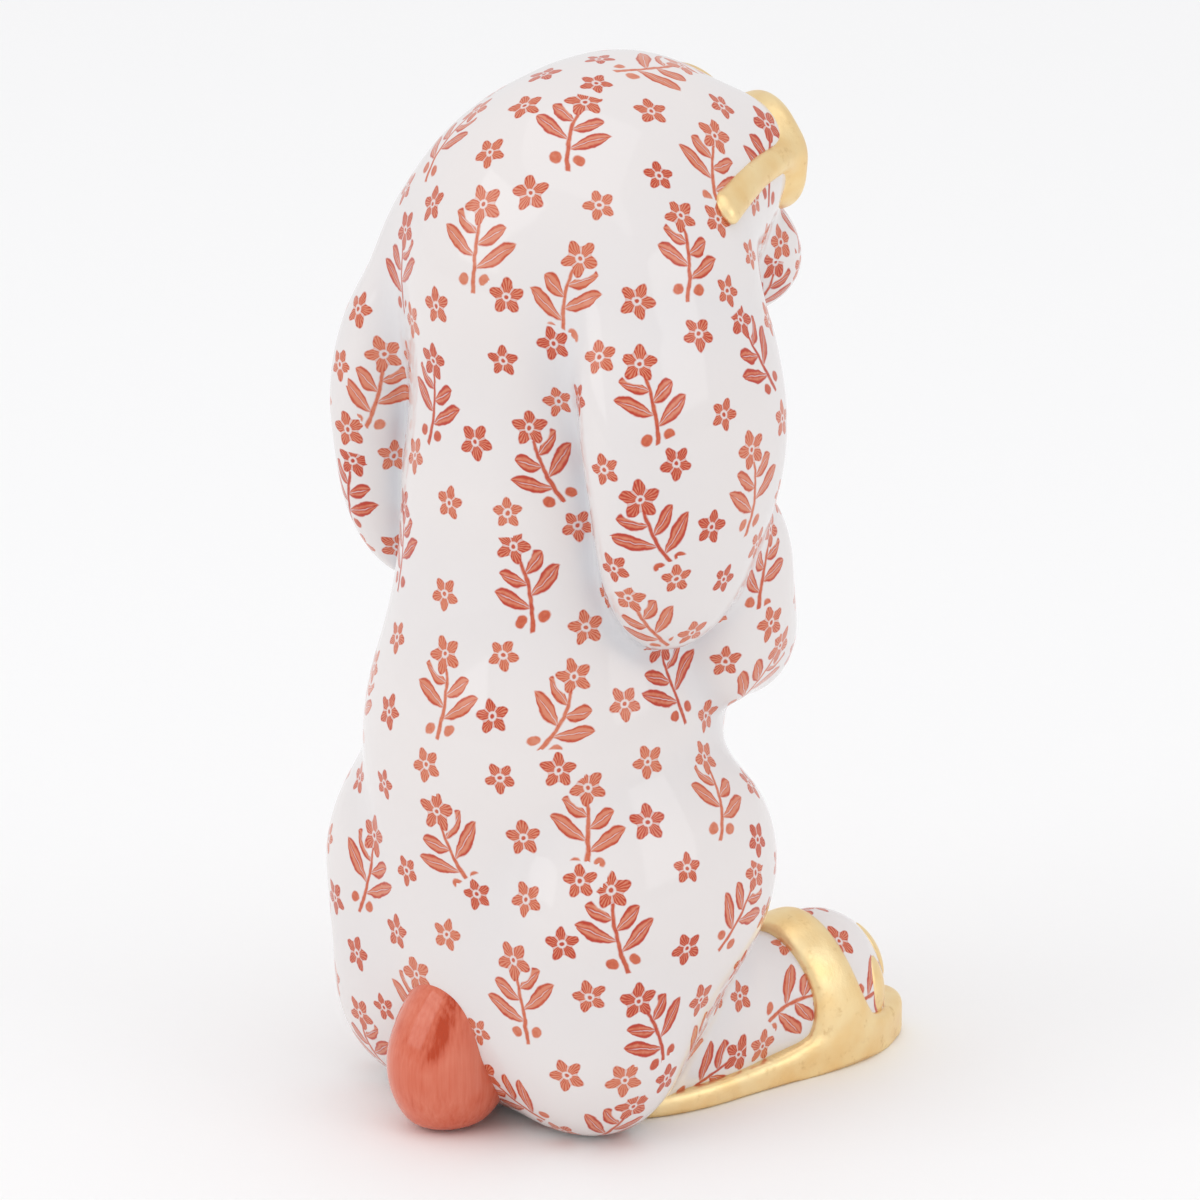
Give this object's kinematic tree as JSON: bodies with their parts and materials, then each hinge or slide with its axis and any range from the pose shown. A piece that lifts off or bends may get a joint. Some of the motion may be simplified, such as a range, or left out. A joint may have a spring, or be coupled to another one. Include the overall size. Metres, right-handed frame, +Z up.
{
  "type": "rabbit figurine",
  "caption": "Upright lop-eared rabbit figurine in glazed porcelain, with gilded spectacles, gilded sandals and a red tail; a shelf ornament.",
  "frame": {"origin": "centre of the footprint, on the surface that the figurine stands on", "axes": "+Z up, the rabbit faces -Y, its left side is +X"},
  "size_m": [0.041, 0.05, 0.088],
  "materials": {
    "white_glaze": "clear gloss glaze over white porcelain, with iron-red brushwork under it",
    "red_glaze": "iron-red enamel brushed on in streaks, under gloss glaze",
    "gilding": "burnished gold over the porcelain, between satin and bright"
  },
  "bodies": {
    "root": {"torso": "white_glaze", "head": "white_glaze", "tail": "red_glaze", "spectacle_front": "gilding", "ear_right": "white_glaze", "ear_left": "white_glaze", "arm_right": "white_glaze", "arm_left": "white_glaze", "haunch_right": "white_glaze", "haunch_left": "white_glaze", "foot_right": "white_glaze", "foot_left": "white_glaze", "sandal_sole_right": "gilding", "sandal_sole_left": "gilding", "sandal_strap_right": "gilding", "sandal_strap_left": "gilding", "spectacle_temple_right": "gilding", "spectacle_temple_left": "gilding"}
  },
  "joints": []
}
